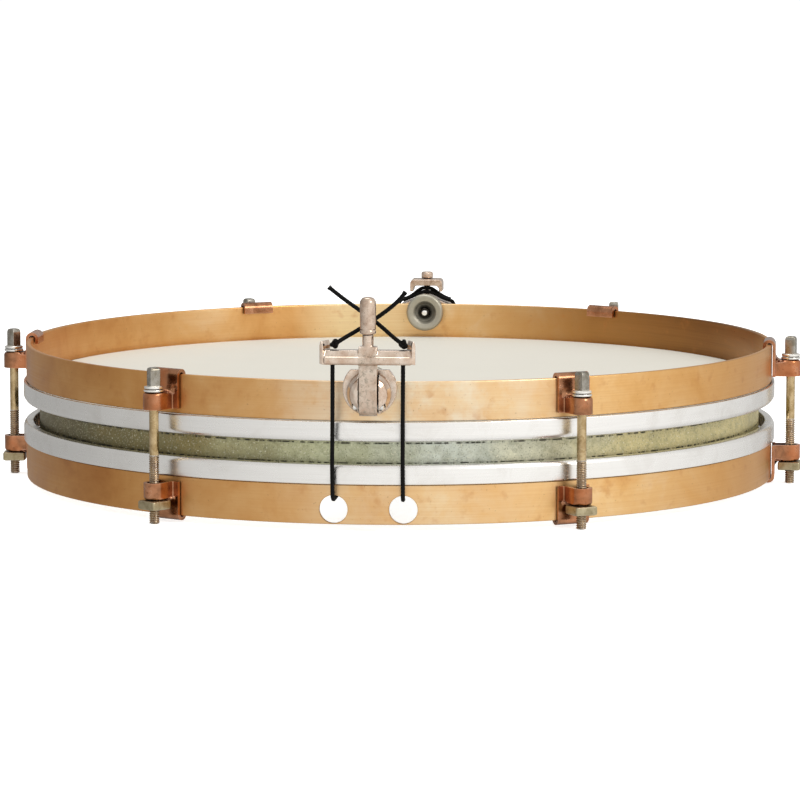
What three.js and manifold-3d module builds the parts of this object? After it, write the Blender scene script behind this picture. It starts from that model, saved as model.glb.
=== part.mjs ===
// Shallow fourteen-inch snare drum: thin shell, two heads in aluminium flesh hoops, flat brass
// counterhoops, six rods with claw hooks, a lever throw-off at the front and a butt at the rear.
// Millimetres, +Z up. The front is -Y. The drum stands on the ends of its tension rods at z = 0.
import * as THREE from 'three';
import { mergeVertices } from 'three/addons/utils/BufferGeometryUtils.js';
import Module from 'manifold-3d';

const wasm = await Module();
wasm.setup();

// ---- driving dimensions ----
const MID = 36.3; // height of the shell's mid-plane above the rod ends
const GAP = 0.3; // clearance kept between neighbouring pieces
const ROUND = 72; // facets round each large ring

const SHELL_R = 177.8;
const SHELL_WALL = 1.2;
const SHELL_HALF = 15.0;

const HOOP_R = 184.2;
const HOOP_WALL = 2.2;
const HOOP_LOW = 14.7; // height of a hoop's inner edge above the mid-plane
const HOOP_HIGH = 33.0; // height of its rim

const ROD_CIRCLE = 193.4;
const ROD_ANGLES = [30.0, 88.9, 148.4, 208.9, 268.9, 328.6]; // degrees from the front, towards +X
const SHANK_R = 2.2;
const THREAD_R = 2.4;
const THREAD_TOP = -4.3; // relative to the mid-plane
const ROD_HEAD_SIZE = 5.0;
const ROD_HEAD_LOW = 27.9;
const ROD_HEAD_HIGH = 36.5;

const CLAW_WIDTH = 16;
const SHEET = 1.5;
const POCKET_R = 5.0;
const POCKET_OPEN = 16.9;
const POCKET_LEDGE = 25.0;
const NUT_SIZE = 11;
const NUT_THICK = 4.2;

const STUD_HIGH = 29.2; // height of a stud in its own group
const STRAINER_OFF = [1.0, 0, 0.5]; // the strainer's place along the hoop and in height
const BUTT_OFF = [0, 0, -0.5];
const STUD_R = 2.5;
const THUMB_R = 9.8;
const CORD_R = 1.0;
const CORD_SIDE = 16; // half the distance between the two cords
const CORD_HOLE_R = 6.5;
const CORD_HOLE_HIGH = -26.0;
const REACH = 200.5; // radius that the crossbar and the clamp reach

const PIVOT_RADIUS = 193.5; // distance of the lever's pivot from the drum's axis
const PIVOT_HIGH = 22.1;
const LEVER_WIDTH = 8.3;

// ---- materials ----
const metal = (color, roughness) => new THREE.MeshStandardMaterial({ color, roughness, metalness: 1 });
const BRASS = () => metal('#c99a5f', 0.35);
const COPPER = () => metal('#b8704a', 0.35);
const AGED = () => metal('#b39a78', 0.4);
const STEEL = () => metal('#c9c6c0', 0.3);
const NICKEL = () => metal('#d6c3b2', 0.35);
const ALUMINIUM = () => metal('#dcd9d5', 0.35);
const PATINA = () => metal('#808a6c', 0.6);
const FILM = () => new THREE.MeshStandardMaterial({ color: '#e4e0d3', roughness: 0.8 });
const CORD = () => new THREE.MeshStandardMaterial({ color: '#15130f', roughness: 0.7 });

// ---- solids ----
function solid(geometry) {
  const bare = geometry.clone();
  bare.deleteAttribute('normal');
  bare.deleteAttribute('uv');
  const merged = mergeVertices(bare, 1e-4);
  const index = merged.index.array;
  const kept = [];
  for (let i = 0; i < index.length; i += 3) {
    const [a, b, c] = index.slice(i, i + 3);
    if (a !== b && b !== c && c !== a) kept.push(a, b, c);
  }
  return new wasm.Manifold(new wasm.Mesh({
    numProp: 3,
    vertProperties: merged.attributes.position.array,
    triVerts: new Uint32Array(kept),
  }));
}

function geometryOf(manifold) {
  const mesh = manifold.getMesh();
  const geometry = new THREE.BufferGeometry();
  geometry.setAttribute('position', new THREE.BufferAttribute(mesh.vertProperties, 3));
  geometry.setIndex(new THREE.BufferAttribute(mesh.triVerts, 1));
  geometry.computeVertexNormals();
  return geometry;
}

// A solid of revolution about Z from a closed profile of [radius, height] points.
function turned(profile, segments = ROUND) {
  let twiceArea = 0;
  profile.forEach(([r, z], i) => {
    const [nextR, nextZ] = profile[(i + 1) % profile.length];
    twiceArea += r * nextZ - nextR * z;
  });
  const ordered = twiceArea > 0 ? [...profile] : [...profile].reverse();
  const points = [...ordered, ordered[0]].map(([r, z]) => new THREE.Vector2(r, z));
  return solid(new THREE.LatheGeometry(points, segments).rotateX(Math.PI / 2));
}

// A pin or bore along Z, from low to high.
const pin = (radius, low, high, segments = 16) =>
  turned([[0, low], [radius, low], [radius, high], [0, high]], segments);

function prism(points, depth) {
  const shape = new THREE.Shape(points.map(([x, y]) => new THREE.Vector2(x, y)));
  return new THREE.ExtrudeGeometry(shape, { depth, bevelEnabled: false });
}

// An outline of [radius, height] points at the front of the drum, extruded across it to a width.
function acrossFront(points, width) {
  const geometry = prism(points, width).translate(0, 0, -width / 2);
  const basis = new THREE.Matrix4().makeBasis(
    new THREE.Vector3(0, -1, 0), new THREE.Vector3(0, 0, 1), new THREE.Vector3(-1, 0, 0));
  return solid(geometry.applyMatrix4(basis));
}

// An outline of [x, height] points, extruded radially from one radius to another at the front.
function outFront(points, from, to) {
  const geometry = prism(points, to - from).rotateX(Math.PI / 2);
  return solid(geometry.translate(0, -from, 0));
}

const box = (x, y, z) => solid(new THREE.BoxGeometry(x, y, z));

// A round pin along the radius at the front, centred on x and height, between two radii.
const radialPin = (radius, x, high, from, to, segments = 20) =>
  pin(radius, from, to, segments).rotate([90, 0, 0]).translate([x, 0, high]);

function tube(points, radius = CORD_R, steps = 24) {
  const path = new THREE.CatmullRomCurve3(points.map((p) => new THREE.Vector3(...p)));
  const section = new THREE.Shape();
  for (let i = 0; i < 8; i += 1) {
    const angle = (i / 8) * 2 * Math.PI;
    const corner = [radius * Math.cos(angle), radius * Math.sin(angle)];
    if (i === 0) section.moveTo(...corner);
    else section.lineTo(...corner);
  }
  return solid(new THREE.ExtrudeGeometry(section, { steps, extrudePath: path }));
}

const arcPoints = (cx, cy, radius, fromDeg, toDeg, count) =>
  Array.from({ length: count + 1 }, (_, i) => {
    const angle = THREE.MathUtils.degToRad(fromDeg + ((toDeg - fromDeg) * i) / count);
    return [cx + radius * Math.cos(angle), cy + radius * Math.sin(angle)];
  });

// ---- the drum ----
const drum = new THREE.Group();
const upper = new THREE.Group();
upper.position.z = MID;
drum.add(upper);

function put(parent, name, manifold, material) {
  const mesh = new THREE.Mesh(geometryOf(manifold), material);
  mesh.name = name;
  parent.add(mesh);
}

const flipped = (profile) => profile.map(([r, z]) => [r, -z]);

function addShell() {
  const inner = SHELL_R - SHELL_WALL;
  const profile = [
    [SHELL_R, -SHELL_HALF], [SHELL_R, SHELL_HALF], [inner, SHELL_HALF], [inner, -SHELL_HALF],
  ];
  put(upper, 'shell', turned(profile), PATINA());
}

// The head film lies over the bearing edge and turns down into its flesh hoop's channel.
function filmProfile(thick) {
  const under = SHELL_HALF + GAP;
  return [
    [0, under], [178.0, under], [180.4, 14.0], [183.0, 13.0], [183.0, 8.2], [183.0 + thick, 8.2],
    [183.0 + thick, 13.0 + thick], [180.6, 14.0 + thick], [178.2, under + thick], [0, under + thick],
  ];
}

const FLESH_HOOP = [
  [180.8, 5.2], [184.6, 5.2], [185.6, 6.6], [185.6, 14.4], [184.0, 14.4], [184.0, 7.2],
  [182.4, 7.2], [182.4, 12.6], [180.8, 12.6],
];

const COUNTERHOOP = [
  [HOOP_R - HOOP_WALL, HOOP_LOW], [HOOP_R, HOOP_LOW], [HOOP_R, HOOP_HIGH],
  [HOOP_R - HOOP_WALL, HOOP_HIGH],
];

// The bore that a stud passes through, in the hoop's wall and in the back of a casting.
const studBore = () => radialPin(STUD_R + GAP, 0, STUD_HIGH, HOOP_R - 4, HOOP_R + 3.7);

function addHeadsAndHoops() {
  const both = (name, profile, material) => {
    put(upper, `batter_${name}`, turned(profile), material());
    put(upper, `snare_${name}`, turned(flipped(profile)), material());
  };
  both('flesh_hoop', FLESH_HOOP, ALUMINIUM);
  put(upper, 'batter_head_film', turned(filmProfile(0.4)), FILM());
  put(upper, 'snare_head_film', turned(flipped(filmProfile(0.3))), FILM());

  const reach = HOOP_R + 2;
  const frontStudHole = studBore().translate(STRAINER_OFF);
  const rearStudHole = studBore().translate(BUTT_OFF).rotate([0, 0, 180]);
  const rim = turned(COUNTERHOOP).subtract(frontStudHole).subtract(rearStudHole);
  put(upper, 'batter_hoop', rim, BRASS());
  const cordHole = (x) => radialPin(CORD_HOLE_R, x, CORD_HOLE_HIGH, -reach, reach, 28);
  const drilled = turned(flipped(COUNTERHOOP)).subtract(cordHole(CORD_SIDE)).subtract(cordHole(-CORD_SIDE));
  put(upper, 'snare_hoop', drilled, BRASS());
}

// ---- tension stations ----
function clawSolid() {
  const inside = HOOP_R + GAP;
  const outside = inside + SHEET;
  const legOut = HOOP_R - HOOP_WALL - 0.8;
  const legIn = legOut - SHEET;
  const under = HOOP_HIGH + 0.4;
  const bend = 1.6;
  const hook = [
    [inside, POCKET_OPEN + 0.4], [outside, POCKET_OPEN + 0.4],
    ...arcPoints(outside - bend, under + SHEET - bend + 0.4, bend, 0, 90, 2),
    ...arcPoints(legIn + bend, under + SHEET - bend + 0.4, bend, 90, 180, 2),
    [legIn, HOOP_HIGH - 3.5], [legOut, HOOP_HIGH - 3.5], [legOut, under], [inside, under],
  ];
  const wide = 2 * POCKET_R;
  const bossOut = turned([
    [0, POCKET_OPEN], [POCKET_R, POCKET_OPEN], [POCKET_R, POCKET_LEDGE - 1.4],
    [POCKET_R - 1.4, POCKET_LEDGE], [0, POCKET_LEDGE],
  ], 16).translate([0, -ROD_CIRCLE, 0]);
  const neck = acrossFront([
    [inside, POCKET_OPEN], [ROD_CIRCLE, POCKET_OPEN], [ROD_CIRCLE, POCKET_LEDGE], [inside, POCKET_LEDGE],
  ], wide);
  const hollowHigh = POCKET_LEDGE - SHEET;
  const hollowR = POCKET_R - SHEET;
  const hollow = pin(hollowR, POCKET_OPEN - 2, hollowHigh, 12).translate([0, -ROD_CIRCLE, 0]);
  const hollowNeck = acrossFront([
    [inside - 1, POCKET_OPEN - 2], [ROD_CIRCLE, POCKET_OPEN - 2], [ROD_CIRCLE, hollowHigh],
    [inside - 1, hollowHigh],
  ], 2 * hollowR);
  const rodHole = pin(THREAD_R + 0.4, hollowHigh - 1, POCKET_LEDGE + 1, 12).translate([0, -ROD_CIRCLE, 0]);
  return acrossFront(hook, CLAW_WIDTH).add(bossOut).add(neck)
    .subtract(hollow).subtract(hollowNeck).subtract(rodHole);
}

function rodSolid() {
  const washerTop = POCKET_LEDGE + GAP + 1.0;
  const flangeLow = washerTop + GAP;
  const chamfer = 0.5;
  const body = turned([
    [0, -MID], [THREAD_R - chamfer, -MID], [THREAD_R, -MID + chamfer], [THREAD_R, THREAD_TOP],
    [SHANK_R, THREAD_TOP], [SHANK_R, flangeLow], [4.5, flangeLow], [4.5, ROD_HEAD_LOW],
    [0, ROD_HEAD_LOW],
  ], 12);
  const high = ROD_HEAD_HIGH - ROD_HEAD_LOW + 0.5;
  const head = box(ROD_HEAD_SIZE, ROD_HEAD_SIZE, high)
    .translate([0, 0, ROD_HEAD_HIGH - high / 2]);
  const dome = turned([
    [0, ROD_HEAD_LOW - 1], [3.6, ROD_HEAD_LOW - 1], [3.6, ROD_HEAD_HIGH - 1.3],
    [2.2, ROD_HEAD_HIGH], [0, ROD_HEAD_HIGH],
  ], 12);
  return body.add(head.intersect(dome));
}

function addTensionStations() {
  const claw = clawSolid();
  const lowerClaw = claw.mirror([0, 0, 1]);
  const rod = rodSolid().translate([0, -ROD_CIRCLE, 0]);
  const washerLow = POCKET_LEDGE + GAP;
  const washer = turned([
    [2.7, washerLow], [4.75, washerLow], [4.75, washerLow + 1.0], [2.7, washerLow + 1.0],
  ], 12).translate([0, -ROD_CIRCLE, 0]);
  const nutHigh = -POCKET_LEDGE - GAP;
  const nut = box(NUT_SIZE, NUT_SIZE, NUT_THICK).subtract(pin(THREAD_R + GAP, -NUT_THICK, NUT_THICK, 12))
    .translate([0, -ROD_CIRCLE, nutHigh - NUT_THICK / 2]);
  ROD_ANGLES.forEach((angle, index) => {
    const station = new THREE.Group();
    station.rotation.z = THREE.MathUtils.degToRad(angle);
    upper.add(station);
    const number = index + 1;
    put(station, `upper_claw_${number}`, claw, COPPER());
    put(station, `lower_claw_${number}`, lowerClaw, COPPER());
    put(station, `tension_rod_${number}`, rod, AGED());
    put(station, `washer_${number}`, washer, STEEL());
    put(station, `square_nut_${number}`, nut, STEEL());
  });
}

// ---- throw-off at the front, butt at the rear ----
function thumbNut() {
  const outer = HOOP_R - HOOP_WALL - 0.7;
  const inner = outer - 4.8;
  const profile = [
    [STUD_R + GAP, outer], [THUMB_R - 0.6, outer], [THUMB_R, outer - 0.6], [THUMB_R, inner + 1.0],
    [THUMB_R - 1.0, inner], [THUMB_R - 3.6, inner + 0.6], [STUD_R + GAP, inner + 2.6],
  ];
  return turned(profile, 24).rotate([90, 0, 0]).translate([0, 0, STUD_HIGH]);
}

const studSolid = () => radialPin(STUD_R, 0, STUD_HIGH, HOOP_R - 9.0, HOOP_R + 3.4);

const BASE_FACE = HOOP_R + 4.3; // radius of the strainer base's front face
const CHEEK_FACE = 197;

function strainerBase() {
  const discHigh = 29.6;
  const discR = 12.4;
  const cheekHigh = 27.6;
  const disc = radialPin(discR, 0, discHigh, HOOP_R + GAP, BASE_FACE, 40);
  const cheekProfile = [
    [0, BASE_FACE - 1], [10.0, BASE_FACE - 1], [10.0, BASE_FACE + 3.2], [8.6, CHEEK_FACE - 2.0],
    [6.6, CHEEK_FACE - 0.5], [4.0, CHEEK_FACE], [0, CHEEK_FACE],
  ];
  const cheeks = turned(cheekProfile, 40).rotate([90, 0, 0]).translate([0, 0, cheekHigh]);
  const slot = box(LEVER_WIDTH + 0.8, 20, 40).translate([0, -(BASE_FACE + 10), cheekHigh]);
  const topCut = box(40, 20, 10).translate([0, -(HOOP_R + 5), 38.2 + 5]);
  const pivotBore = pin(1.5 + GAP, -7.6, 7.6).rotate([0, 90, 0])
    .translate([0, -PIVOT_RADIUS, PIVOT_HIGH]);
  return disc.add(cheeks).subtract(slot).subtract(topCut).subtract(pivotBore).subtract(studBore());
}

function strainerLever() {
  const back = PIVOT_RADIUS - 4.4;
  const front = 198.2;
  const arm = acrossFront([
    [back, PIVOT_HIGH], ...arcPoints(PIVOT_RADIUS, PIVOT_HIGH, 4.4, 180, 300, 6),
    [front - 0.6, PIVOT_HIGH - 2.2], [front, PIVOT_HIGH + 0.2], [front, 39.5], [199.6, 43.0],
    [199.6, 48.0], [198.6, 49.9], [194.2, 49.9], [193.0, 46.5], [193.0, 42.5], [back, 38.5],
  ], LEVER_WIDTH);
  const barFront = REACH;
  const barBack = 192.6;
  const bar = acrossFront([
    [barBack, 43.1], [barBack + 1.4, 41.6], [barFront - 1.0, 41.6], [barFront, 42.6],
    [barFront, 44.9], [barFront - 0.8, 45.5], [barFront - 2.2, 48.1], [barBack, 48.1],
  ], 39);
  const neckRadius = 196.4;
  const neck = pin(2.6, 48, 55.1).add(pin(1.7, 54, 65, 12)).translate([0, -neckRadius, 0]);
  let lever = arm.add(bar).add(neck);
  for (const side of [-1, 1]) {
    const ear = outFront([
      [-0.9, 42.1], [0.9, 41.6], [0.9, 50.4], [0.45, 52.4], [-0.45, 52.4], [-0.9, 50.4],
    ], -4.0, 4.0).rotate([0, 0, side * 20]).translate([side * 19.6, -196.3, 0]);
    lever = lever.add(ear);
    const cordBore = pin(CORD_R + 0.7, 40, 49, 12).translate([side * CORD_SIDE, -196.5, 0]);
    lever = lever.subtract(cordBore);
  }
  const pivotBore = pin(1.5 + GAP, -20, 20).rotate([0, 90, 0])
    .translate([0, -PIVOT_RADIUS, PIVOT_HIGH]);
  return lever.subtract(pivotBore);
}

function leverGrip() {
  return turned([
    [0, 65.4], [2.1, 65.4], [2.1, 55.4], [3.3, 55.4], [3.7, 55.9], [3.7, 69.8], [3.2, 71.5],
    [1.9, 72.3], [0, 72.3],
  ], 20).translate([0, -196.4, 0]);
}

function addStrainer() {
  const front = new THREE.Group();
  front.position.set(...STRAINER_OFF);
  upper.add(front);
  put(front, 'strainer_base', strainerBase(), NICKEL());
  put(front, 'strainer_lever', strainerLever(), NICKEL());
  put(front, 'lever_grip', leverGrip(), NICKEL());
  const pivot = pin(1.5, -7.2, 7.2).rotate([0, 90, 0]).translate([0, -PIVOT_RADIUS, PIVOT_HIGH]);
  put(front, 'lever_pivot_pin', pivot, STEEL());
  put(front, 'strainer_stud', studSolid(), STEEL());
  put(front, 'strainer_thumb_nut', thumbNut(), NICKEL());
  addFrontCords(front);
}

const SADDLE_CREST = 38.0;
const CLAMP_HIGH = 45.9;
const SCREW_RADIUS = 196.2; // distance of the clamp screw from the drum's axis

function buttSaddle() {
  const outline = [
    [-7.5, 20.4], [7.5, 20.4], [12.2, 26.0], [13.5, 31.6], [13.5, 32.6],
    ...arcPoints(0, SADDLE_CREST - 9.0, 9.0, 48, 132, 8), [-13.5, 32.6], [-13.5, 31.6], [-12.2, 26.0],
  ];
  const block = outFront(outline, HOOP_R + GAP, REACH - 0.8);
  const screwBore = pin(1.6 + GAP, 26, 50, 12).translate([0, -SCREW_RADIUS, 0]);
  return block.subtract(studBore()).subtract(screwBore);
}

// A low bridge over the two cords, with a short leg at each side.
function buttClamp() {
  const half = 8.65;
  const soft = 2.0;
  const arch = 42.6; // height of the bridge's underside
  const foot = 39.5;
  const inside = 6.9;
  const outline = [
    [-half, foot], [-inside, foot], [-inside, arch - 1.4], [1.4 - inside, arch],
    [inside - 1.4, arch], [inside, arch - 1.4], [inside, foot], [half, foot], [half, CLAMP_HIGH - soft],
    ...arcPoints(half - soft, CLAMP_HIGH - soft, soft, 22, 90, 3),
    ...arcPoints(soft - half, CLAMP_HIGH - soft, soft, 90, 158, 3), [-half, CLAMP_HIGH - soft],
  ];
  return outFront(outline, 187.6, REACH)
    .subtract(pin(1.6 + GAP, 26, 50, 12).translate([0, -SCREW_RADIUS, 0]));
}

function clampScrew() {
  const low = CLAMP_HIGH + GAP;
  return turned([
    [0, 27], [1.6, 27], [1.6, low], [3.15, low], [3.15, low + 2.6], [2.5, low + 3.3], [0, low + 3.3],
  ], 20).translate([0, -SCREW_RADIUS, 0]);
}

function addButt() {
  const rear = new THREE.Group();
  rear.rotation.z = Math.PI;
  upper.add(rear);
  const butt = new THREE.Group();
  butt.position.set(...BUTT_OFF);
  rear.add(butt);
  put(butt, 'butt_saddle', buttSaddle(), NICKEL());
  put(butt, 'butt_clamp', buttClamp(), NICKEL());
  put(butt, 'butt_clamp_screw', clampScrew(), STEEL());
  put(butt, 'butt_stud', studSolid(), STEEL());
  put(butt, 'butt_thumb_nut', thumbNut(), NICKEL());
  addRearCords(rear);
}

// ---- snares and their cords ----
const STRAND_COUNT = 20;
const STRAND_PITCH = 2.1;
const STRAND_R = 0.8;
const STRAND_HALF = 148;
const STRAND_HIGH = -SHELL_HALF - GAP - 0.3 - GAP - STRAND_R;
const PLATE_RADIUS = 153; // distance of an end plate's outer edge from the drum's axis
const PLATE_HIGH = STRAND_HIGH - STRAND_R - GAP - 0.5;

function addSnares() {
  let strands = box(STRAND_PITCH * (STRAND_COUNT - 1), 8, 0.8)
    .translate([0, STRAND_HALF - 4, STRAND_HIGH]);
  strands = strands.add(strands.mirror([0, 1, 0]));
  for (let i = 0; i < STRAND_COUNT; i += 1) {
    const x = (i - (STRAND_COUNT - 1) / 2) * STRAND_PITCH;
    strands = strands.add(pin(STRAND_R, -STRAND_HALF, STRAND_HALF, 5)
      .rotate([90, 0, 0]).translate([x, 0, STRAND_HIGH]));
  }
  put(upper, 'snare_strands', strands, STEEL());
  for (const [name, side] of [['front', -1], ['rear', 1]]) {
    const plate = box(46, 12, 1.0).translate([0, side * (PLATE_RADIUS - 6), PLATE_HIGH]);
    put(upper, `snare_plate_${name}`, plate, BRASS());
  }
}

// Points are [x, radius, height] at the front. The side mirrors x.
const atFront = (side, points) => points.map(([x, r, z]) => [side * x, -r, z]);

const CORD_INNER_RUN = [
  [13.4, PLATE_RADIUS + GAP + 0.1, PLATE_HIGH], [13.8, 160, -18.6], [14.4, 168, -19.7],
  [15.2, 176, -20.7], [15.7, 181, -21.3], [15.95, 184, -21.3], [16.05, 185.9, -20.3],
  [16.1, 187.0, -18.0], [16.1, 187.4, -14.0],
];

// The front cords lean with the strainer, and their knots and tails belong to its group.
function addFrontCords(front) {
  const rise = [[16.1, 188.3, -6.0], [16.05, 189.9, 4.0], [16.0, 192.0, 17.0], [16.0, 194.4, 32.0],
    [16.0, 196.2, 43.5], [16.0, 196.5, 48.6]];
  const lean = (z) => (STRAINER_OFF[0] * Math.max(0, z + 6)) / 54.6;
  const leftTail = [[-15.0, -197.0, 50.9], [-13.0, -196.4, 52.1], [-10.0, -194.4, 53.9],
    [-5.0, -191.6, 56.7], [0, -190.6, 59.9], [5.0, -190.6, 63.3], [10.5, -190.8, 67.5],
    [14.4, -191.0, 71.3], [16.6, -191.2, 74.1]];
  const rightTail = [[16.1, -197.0, 50.9], [14.0, -196.2, 52.1], [10.6, -193.2, 54.3],
    [7.0, -189.8, 56.9], [2.2, -187.6, 60.5], [-4.8, -187.4, 65.5], [-12.0, -187.8, 70.7],
    [-18.6, -188.2, 75.9]];
  for (const [name, side, tail] of [['left', -1, leftTail], ['right', 1, rightTail]]) {
    const line = atFront(side, [...CORD_INNER_RUN, ...rise]).map(([x, y, z]) => [x + lean(z), y, z]);
    put(upper, `front_cord_${name}`, tube(line, CORD_R, 24), CORD());
    const knot = solid(new THREE.SphereGeometry(2.5, 10, 6).translate(...tail[0]));
    put(front, `cord_end_${name}`, knot.add(tube(tail, CORD_R, 12)), CORD());
  }
}

// Each rear cord climbs outside the drum, lies over the saddle under the clamp and ends past it.
// The right one crosses on top of the left one.
const REAR_CLIMB = [[16.1, 188.1, -6.0], [16.1, 188.9, 4.0], [16.0, 189.6, 16.0]];
const REAR_OVER = {
  left: [
    [15.7, 190.2, 26.5], [15.1, 190.4, 31.0], [13.9, 190.4, 33.6], [10.2, 190.4, 35.0],
    [7.4, 190.4, 36.2], [5.1, 190.4, 37.45], [2.6, 190.4, 38.4], [0, 190.4, 38.75],
    [-2.6, 190.4, 38.4], [-5.1, 190.4, 37.45], [-7.4, 190.3, 36.3], [-10.2, 190.0, 35.1],
    [-12.4, 189.6, 34.2],
  ],
  right: [
    [15.8, 190.6, 26.5], [15.3, 192.0, 31.0], [14.0, 192.8, 33.7], [10.2, 192.9, 35.2],
    [7.6, 192.8, 36.7], [5.6, 192.4, 38.3], [4.2, 192.0, 39.4], [2.4, 191.2, 40.45],
    [0, 190.4, 40.85], [-2.4, 191.2, 40.45], [-4.2, 192.0, 39.4], [-5.6, 192.4, 38.3],
    [-7.6, 192.8, 36.9], [-10.2, 193.6, 35.4], [-12.6, 194.6, 34.4],
  ],
};

function addRearCords(rear) {
  for (const [name, side] of [['left', -1], ['right', 1]]) {
    const line = atFront(side, [...CORD_INNER_RUN, ...REAR_CLIMB, ...REAR_OVER[name]]);
    put(rear, `rear_cord_${name}`, tube(line, CORD_R, 48), CORD());
  }
}

addShell();
addHeadsAndHoops();
addTensionStations();
addStrainer();
addButt();
addSnares();

export default drum;
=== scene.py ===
"""Looks of a shallow fourteen-inch snare drum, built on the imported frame.

Shapes are written in millimetres, with heights measured from the shell's mid-plane, and are turned
into metres in the row frame by make(). The throw-off is at -Y and the butt at +Y.
"""

import math

import bmesh
import bpy
from mathutils import Matrix, Vector


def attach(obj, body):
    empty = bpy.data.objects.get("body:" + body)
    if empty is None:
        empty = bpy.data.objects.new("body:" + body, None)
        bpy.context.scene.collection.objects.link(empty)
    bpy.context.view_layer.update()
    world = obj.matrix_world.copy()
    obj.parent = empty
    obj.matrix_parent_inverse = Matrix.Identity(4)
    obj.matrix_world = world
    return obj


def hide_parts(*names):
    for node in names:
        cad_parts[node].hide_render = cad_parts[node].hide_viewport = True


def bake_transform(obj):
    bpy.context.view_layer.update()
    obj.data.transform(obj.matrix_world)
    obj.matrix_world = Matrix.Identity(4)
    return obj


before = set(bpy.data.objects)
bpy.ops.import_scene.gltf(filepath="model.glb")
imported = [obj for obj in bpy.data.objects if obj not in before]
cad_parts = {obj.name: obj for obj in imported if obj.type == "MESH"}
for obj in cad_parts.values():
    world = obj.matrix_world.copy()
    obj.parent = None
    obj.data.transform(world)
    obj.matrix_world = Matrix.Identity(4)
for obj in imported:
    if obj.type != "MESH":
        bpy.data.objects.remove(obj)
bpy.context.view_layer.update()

MM = 0.001
MID = 36.3  # height of the mid-plane above the rod ends
ROUND = 360  # segments of the big rings
ROD_CIRCLE = 193.4
STATION = [30.0, 88.9, 148.4, 208.9, 268.9, 328.6]  # degrees from the front, towards +X
CORD_R = 1.0
FRONT, REAR = 0, 180
STRAINER_X = 1.0  # the throw-off sits a little to the right of the middle
STUD_PLACE = {FRONT: (STRAINER_X, 29.7), REAR: (0.0, 28.7)}  # x and height of each stud
PIVOT = (STRAINER_X, -193.5, 22.6)
GRIP_AXIS = (STRAINER_X, -196.4, 0.5)


def level(height):
    """A height from the mid-plane, in metres of the row frame."""
    return (height + MID) * MM


# ---- camera ----
def add_camera():
    azimuth, elevation, distance = math.radians(4.4), math.radians(6.779), 2228.65
    aside, above = 0.4, 2.655  # from the drum's middle to the point looked at
    target = Vector((aside * math.cos(azimuth), aside * math.sin(azimuth), MID + above))
    out = Vector((
        math.cos(elevation) * math.sin(azimuth),
        -math.cos(elevation) * math.cos(azimuth),
        math.sin(elevation),
    ))
    data = bpy.data.cameras.new("camera")
    data.lens, data.sensor_width = 202.1, 36.0
    data.clip_start, data.clip_end = 0.05, 50.0
    camera = bpy.data.objects.new("camera", data)
    camera.location = (target + out * distance) * MM
    camera.rotation_euler = out.to_track_quat("Z", "Y").to_euler()
    bpy.context.scene.collection.objects.link(camera)
    bpy.context.scene.camera = camera


add_camera()


# ---- paths and meshes ----
def flow(points, spacing=0.3):
    """A centripetal Catmull-Rom curve through the points, in steps of about the spacing."""
    pts = [Vector(p) for p in points]
    pts = [2 * pts[0] - pts[1]] + pts + [2 * pts[-1] - pts[-2]]
    line = []
    for p0, p1, p2, p3 in zip(pts, pts[1:], pts[2:], pts[3:]):
        t0, t1, t2 = (math.sqrt((b - a).length) for a, b in ((p0, p1), (p1, p2), (p2, p3)))
        m1 = ((p1 - p0) / t0 - (p2 - p0) / (t0 + t1) + (p2 - p1) / t1) * t1
        m2 = ((p2 - p1) / t1 - (p3 - p1) / (t1 + t2) + (p3 - p2) / t2) * t1
        steps = max(2, round((p2 - p1).length / spacing))
        for k in range(steps):
            t = k / steps
            line.append(
                (2 * t**3 - 3 * t**2 + 1) * p1
                + (t**3 - 2 * t**2 + t) * m1
                + (3 * t**2 - 2 * t**3) * p2
                + (t**3 - t**2) * m2
            )
    return line + [pts[-2]]


def rounded(points, radius, steps=4, closed=True):
    """The outline with each corner rounded; radius is one number or one for each point."""
    count = len(points)
    radii = radius if isinstance(radius, (list, tuple)) else [radius] * count
    pts = [Vector(p) for p in points]
    line = []
    for i, (p, r) in enumerate(zip(pts, radii)):
        if r <= 0 or (not closed and i in (0, count - 1)):
            line.append(tuple(p))
            continue
        back, on = pts[i - 1] - p, pts[(i + 1) % count] - p
        turn = math.pi - back.angle(on)
        cut = min(r * math.tan(turn / 2), 0.48 * back.length, 0.48 * on.length)
        a, b = p + back.normalized() * cut, p + on.normalized() * cut
        for k in range(steps + 1):
            t = k / steps
            line.append(tuple(a * (1 - t) ** 2 + p * 2 * t * (1 - t) + b * t**2))
    return line


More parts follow.
